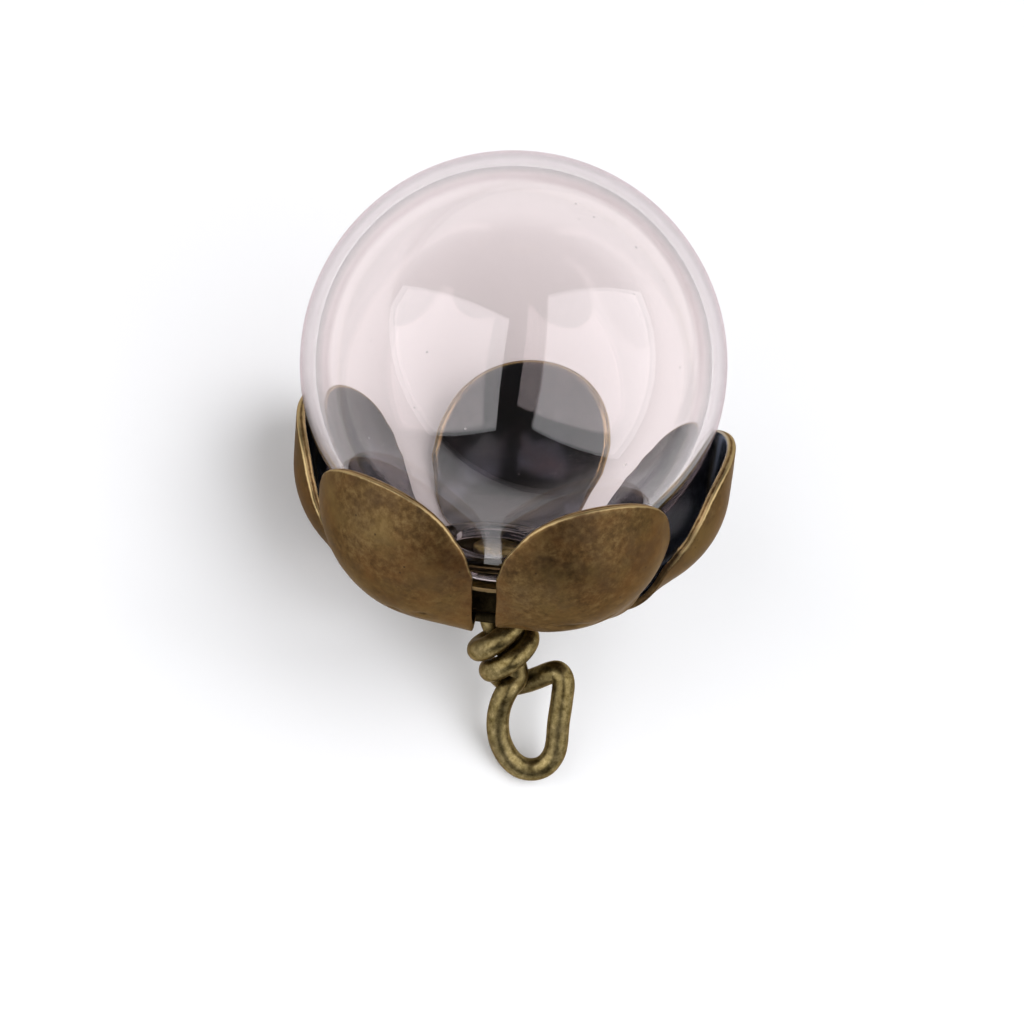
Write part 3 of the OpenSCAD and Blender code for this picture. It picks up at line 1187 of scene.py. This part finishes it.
    def lay_skin(self, bm: bmesh.types.BMesh, inside: bool) -> list[bmesh.types.BMFace]:
        """Adds one skin of the cap as a grid bent into place.

        Args:
            bm: The mesh to add to.
            inside: True for the skin on the side of the glass.

        Returns:
            The skin's faces.
        """
        edge = bm.verts.layers.float.get("edge") or bm.verts.layers.float.new("edge")
        line = self.boss_line(inside)
        columns = (self.across + self.bridge) * len(self.skin.bends)
        ring_rows = len(line)
        rows = ring_rows + self.body_rows + self.tip_rows
        verts = bmesh.ops.create_grid(bm, x_segments=columns, y_segments=rows, size=1)["verts"]
        over_slots = []
        for vert in verts:
            column = round((vert.co.x + 1) / 2 * columns)
            row = round((vert.co.y + 1) / 2 * rows)
            petal, place, over_slot = self.column(column)
            if row < ring_rows:
                r, z = line[row]
                vert.co = self.ring_point(column, r, z)
                corner = SIZES.boss_r - SIZES.boss_draft if inside else SIZES.boss_r - SIZES.wall_t
                height = SIZES.boss_h if inside else 0.0
                gap = math.hypot(r - corner, z - height)
                vert[edge] = math.exp(-(max(0.0, gap - self.corner_gap) / self.edge_w) ** 2)
            elif over_slot and place < self.across + self.bridge:
                over_slots.append(vert)
            else:
                along, across, gap = self.petal_place(petal, row - ring_rows, place)
                sink = self.sink(gap)
                dents = [(d, d.at(along, across)) for d in self.dents if d.petal == petal]
                dent = sum(deep for _, deep in dents)
                # Painted shade for the creases of the outer skin, carried as negative edge values
                crease_shade = sum(d.crease_shade * deep / d.depth for d, deep in dents)
                depth = dent + (SIZES.sheet_t - sink if inside else sink + self.inset)
                vert.co = self.skin.point(petal, along, across, depth)
                vert[edge] = self.edge_share(along, gap) - (0 if inside else crease_shade)
        faces = {f for v in verts for f in v.link_faces}
        bmesh.ops.delete(bm, geom=over_slots, context="VERTS")
        verts = [v for v in verts if v.is_valid]
        bmesh.ops.remove_doubles(bm, verts=verts, dist=self.weld)
        return [f for f in faces if f.is_valid]

    def shape(self, bm: bmesh.types.BMesh) -> None:
        """Joins the two skins round the hole and along the petals' outlines.

        Args:
            bm: The mesh to build in.
        """
        outside = self.lay_skin(bm, inside=False)
        inside = self.lay_skin(bm, inside=True)
        # The boss and the walls at the ends of the slots take the painted shade finish
        inner, boss = (self.finishes.index(f) for f in (Finish.INSIDE, Finish.BOSS_PAINTED_SHADE))
        for face in inside:
            on_boss = face.calc_center_median().xy.length < SIZES.rim_r
            face.material_index = boss if on_boss else inner
        open_edges = [e for e in bm.edges if e.is_boundary]
        hole = [e for e in open_edges if e.verts[0].co.xy.length < SIZES.boss_r / 2]
        outline = list(set(open_edges) - set(hole))
        bmesh.ops.bridge_loops(bm, edges=hole)
        walls = bmesh.ops.bridge_loops(bm, edges=outline)["faces"]
        for face in walls:
            if face.calc_center_median().xy.length < SIZES.rim_r + SIZES.root_len:
                face.material_index = boss
        across = list({e for f in walls for e in f.edges} - set(outline))
        edge = bm.verts.layers.float["edge"]
        cut = bmesh.ops.subdivide_edges(bm, edges=across, cuts=1)["geom_inner"]
        for v in cut:
            if isinstance(v, bmesh.types.BMVert):
                v[edge] *= self.wall_wear
        LOG.info("cap: %d, %d and %d faces", len(outside), len(inside), len(walls))


@dataclass
class Wire(Piece):
    """The bent wire with its head, its loop and its wrapped end."""

    name: str = "wire_loop_bent"
    node: str = "wire_loop"
    slot: str = "wire_bronze"
    finishes: Sequence[Finish] = (Finish.WIRE,)
    route: WireRoute = field(default_factory=WireRoute)
    sides: int = 28
    steps: int = 8
    turn_steps: int = 72
    inset: float = 0.008
    soft: float = 0.08
    throat: float = 0.06
    clear: float = 0.1
    head_hub: float = 0.3
    end_line: Sequence[tuple[float, float]] = ((0.05, 0.97), (0.09, 0.86), (0.1, 0.4))
    wear: float = 0.35

    def rings(self) -> list[tuple[Matrix, float]]:
        """The rings that the wire is drawn through.

        Returns:
            A frame and a radius for each ring, from the head to the cut end.
        """
        s, soft = SIZES, self.soft
        r, head = s.wire_d / 2 - self.inset, s.head_d / 2
        points = self.route.points(self.steps, self.turn_steps)
        points = [p for p in points if p.z < s.lip_z - self.clear]
        top = s.lip_z + s.head_t
        head_line = [(top, self.head_hub), (top, head - soft), (top - soft, head),
                     (s.lip_z + soft, head), (s.lip_z, head - soft),
                     (s.lip_z, r + self.throat), (s.lip_z - self.throat, r)]
        frames = self.route.frames([Vector((0, 0, head_line[-1][0]))] + points)
        made = [(Matrix.Translation((0, 0, z)) @ frames[0].to_3x3().to_4x4(), radius)
                for z, radius in head_line]
        made += [(m, r) for m in frames[1:]]
        made += [(frames[-1] @ Matrix.Translation((0, 0, out)), r * share)
                 for out, share in self.end_line]
        return made

    def shape(self, bm: bmesh.types.BMesh) -> None:
        """Draws a ring out along the route.

        Args:
            bm: The mesh to build in.
        """
        edge = bm.verts.layers.float.new("edge")
        placed = [frame @ Matrix.Scale(radius, 4) for frame, radius in self.rings()]
        ring = bmesh.ops.create_circle(bm, cap_ends=True, radius=1, segments=self.sides,
                                       matrix=placed[0])["verts"]
        edges = list({e for v in ring for e in v.link_edges})
        for before, after in zip(placed, placed[1:]):
            made = bmesh.ops.extrude_edge_only(bm, edges=edges)["geom"]
            verts = [g for g in made if isinstance(g, bmesh.types.BMVert)]
            edges = [g for g in made if isinstance(g, bmesh.types.BMEdge)
                     and all(v in set(verts) for v in g.verts)]
            bmesh.ops.transform(bm, matrix=after @ before.inverted(), verts=verts)
        bmesh.ops.contextual_create(bm, geom=edges)
        for vert in bm.verts:
            vert[edge] = self.wear


# Studio

def looking(eye: Vector, aim: Vector, up: Vector) -> Matrix:
    """The place of a camera or a light.

    Args:
        eye: Where it stands.
        aim: What it looks at.
        up: About which way its top points.

    Returns:
        The object's matrix.
    """
    back = (eye - aim).normalized()
    up = (up - up.dot(back) * back).normalized()
    return Matrix.Translation(eye) @ Matrix((up.cross(back), up, back)).transposed().to_4x4()


@dataclass(frozen=True)
class PhotoCamera:
    """The camera at the photograph's angle to the pendant."""

    roll: float = 4.8
    rise: float = 18.0
    distance: float = 320.0
    lens: float = 240.75
    aim_down: float = 6.897
    aim_left: float = 0.075
    sensor: float = 36.0
    clip: Span = (0.02, 10.0)

    def axes(self) -> tuple[Vector, Vector, Vector]:
        """The picture's directions in the world.

        Returns:
            The ways to its right, up and towards the camera.
        """
        roll, rise = math.radians(self.roll), math.radians(self.rise)
        right = Vector((math.cos(roll), 0, math.sin(roll)))
        towards = Vector((-math.sin(roll) * math.sin(rise), -math.cos(rise),
                          math.cos(roll) * math.sin(rise)))
        turn = POSE.to_3x3()
        right, towards = (turn @ right).normalized(), (turn @ towards).normalized()
        return right, towards.cross(right), towards

    def place(self, right: float, up: float, towards: float) -> Vector:
        """A point given in mm from the globe's middle along the picture's directions."""
        r, u, t = self.axes()
        return POSE @ Vector((0, 0, SIZES.globe_z)) + (r * right + u * up + t * towards) * MM

    def make(self) -> bpy.types.Object:
        """Adds the scene's camera.

        Returns:
            The camera.
        """
        data = bpy.data.cameras.new("photo_camera")
        data.lens = self.lens
        data.sensor_width = self.sensor
        data.clip_start, data.clip_end = self.clip
        obj = put("photo_camera", data)
        eye = self.place(0, 0, self.distance)
        aim = self.place(-self.aim_left, -self.aim_down, 0)
        obj.matrix_world = looking(eye, aim, self.axes()[1])
        bpy.context.scene.camera = obj
        return obj


@dataclass(frozen=True)
class Softbox:
    """A soft light with a square face, placed by its bearing from the globe in the picture.

    Angles are in degrees, the distance is in mm, and the spread is the face's width and height
    as the globe sees them. The brightness is the light that the face gives, next to the sky's.
    """

    name: str
    turn: float
    rise: float
    distance: float
    spread: Span
    tilt: float
    brightness: float
    colour: Colour = (0.985, 0.99, 1.015)

    def make(self, camera: PhotoCamera) -> bpy.types.Object:
        """Adds the light, facing the globe.

        Args:
            camera: The camera that the light's place is counted from.

        Returns:
            The light.
        """
        turn, rise = math.radians(self.turn), math.radians(self.rise)
        width, height = (2 * self.distance * MM * math.tan(math.radians(a) / 2)
                         for a in self.spread)
        data = bpy.data.lights.new(self.name, "AREA")
        data.shape = "RECTANGLE"
        data.size, data.size_y = width, height
        data.energy = self.brightness * math.pi * width * height
        data.color = self.colour
        obj = put(self.name, data)
        obj.visible_camera = False
        flat = self.distance * math.cos(rise)
        place = camera.place(flat * math.sin(turn), self.distance * math.sin(rise),
                             flat * math.cos(turn))
        tilt = math.radians(self.tilt)
        right, up, _ = camera.axes()
        obj.matrix_world = looking(place, camera.place(0, 0, 0),
                                   up * math.cos(tilt) + right * math.sin(tilt))
        return obj


@dataclass(frozen=True)
class Studio:
    """A plain pale floor under soft lights, with a dark room in front."""

    camera: PhotoCamera = PhotoCamera()
    lights: Sequence[Softbox] = (
        Softbox("softbox_left", -42, 0, 250, (72, 70), 12, 2.3),
        Softbox("softbox_right", 48, -3, 250, (64, 80), 10, 2.15),
    )
    sky: float = 1.0
    room: float = 0.05
    room_edge: Span = (-0.05, 0.3)
    floor_half: float = 0.9
    floor_parts: int = 8

    def hang_sky(self) -> None:
        """Adds a sky that is pale behind the pendant and dark in front of it."""
        world = bpy.data.worlds.new("soft_sky")
        world.use_nodes = True
        tree = world.node_tree
        way = tree.nodes.new("ShaderNodeTexCoord")
        facing = tree.nodes.new("ShaderNodeVectorMath")
        facing.operation = "DOT_PRODUCT"
        facing.inputs[1].default_value = self.camera.axes()[2]
        tree.links.new(way.outputs["Generated"], facing.inputs[0])
        fade = tree.nodes.new("ShaderNodeMapRange")
        fade.interpolation_type = "SMOOTHSTEP"
        for socket, value in zip(fade.inputs[1:5], (*self.room_edge, self.sky, self.room)):
            socket.default_value = value
        tree.links.new(facing.outputs["Value"], fade.inputs[0])
        back = tree.nodes["Background"]
        back.inputs["Color"].default_value = (1, 1, 1, 1)
        tree.links.new(fade.outputs[0], back.inputs["Strength"])
        bpy.context.scene.world = world

    def make(self) -> None:
        """Adds the floor, the lights, the sky and the camera."""
        bm = bmesh.new()
        bmesh.ops.create_grid(bm, x_segments=self.floor_parts, y_segments=self.floor_parts,
                              size=self.floor_half)
        floor = put_mesh("floor", bm, (Finish.FLOOR,))
        for light in self.lights:
            light.make(self.camera)
        self.hang_sky()
        self.camera.make()
        bpy.context.scene.view_settings.view_transform = "Standard"


def main() -> None:
    """Builds the pendant and its studio."""
    logging.basicConfig(level=logging.INFO, format="%(name)s: %(message)s")
    for piece in (Globe(), Cap(), Wire()):
        piece.make()
    Studio().make()


if __name__ == "__main__":
    main()
